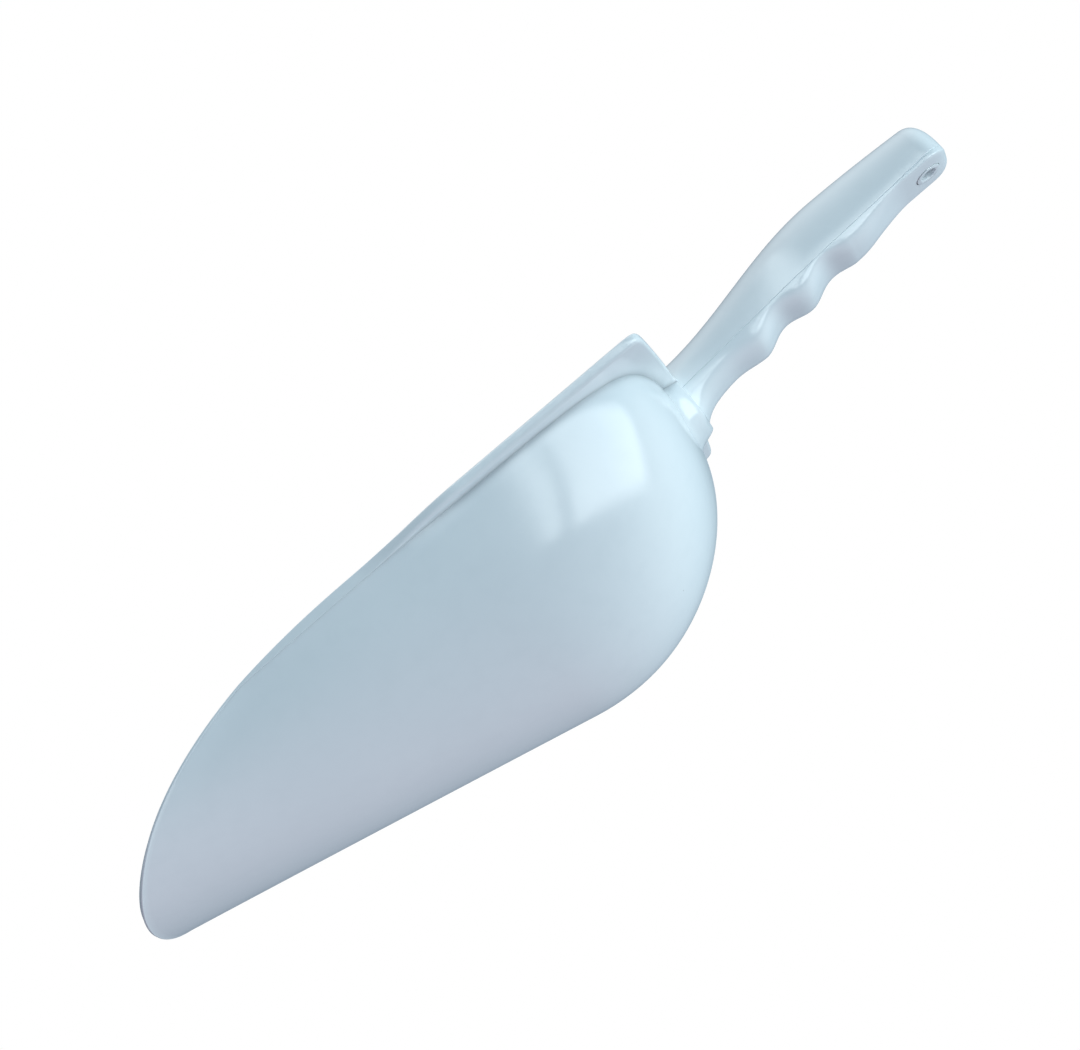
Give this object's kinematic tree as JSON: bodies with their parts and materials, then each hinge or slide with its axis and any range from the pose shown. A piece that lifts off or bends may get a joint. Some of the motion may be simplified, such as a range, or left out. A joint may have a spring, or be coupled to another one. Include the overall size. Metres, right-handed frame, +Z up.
{
  "type": "ice scoop",
  "caption": "Deep moulded scoop with a flat lip around its open top and a hollow arched handle with finger lobes, for scooping ice and dry goods.",
  "frame": {"origin": "on the ground, under the middle of the scoop's length and width, with its straight floor line resting on z = 0", "axes": "+X towards the end of the handle, +Y to one side, +Z up; the scoop is the same on both sides of the XZ plane"},
  "size_m": [0.343, 0.1434, 0.1258],
  "materials": {
    "bowl_plastic": "gloss, pale cool white",
    "handle_plastic": "gloss, pale cool white"
  },
  "bodies": {
    "root": {"bowl": "bowl_plastic", "handle_top_shell": "handle_plastic", "handle_grip_shell": "handle_plastic"}
  },
  "joints": []
}
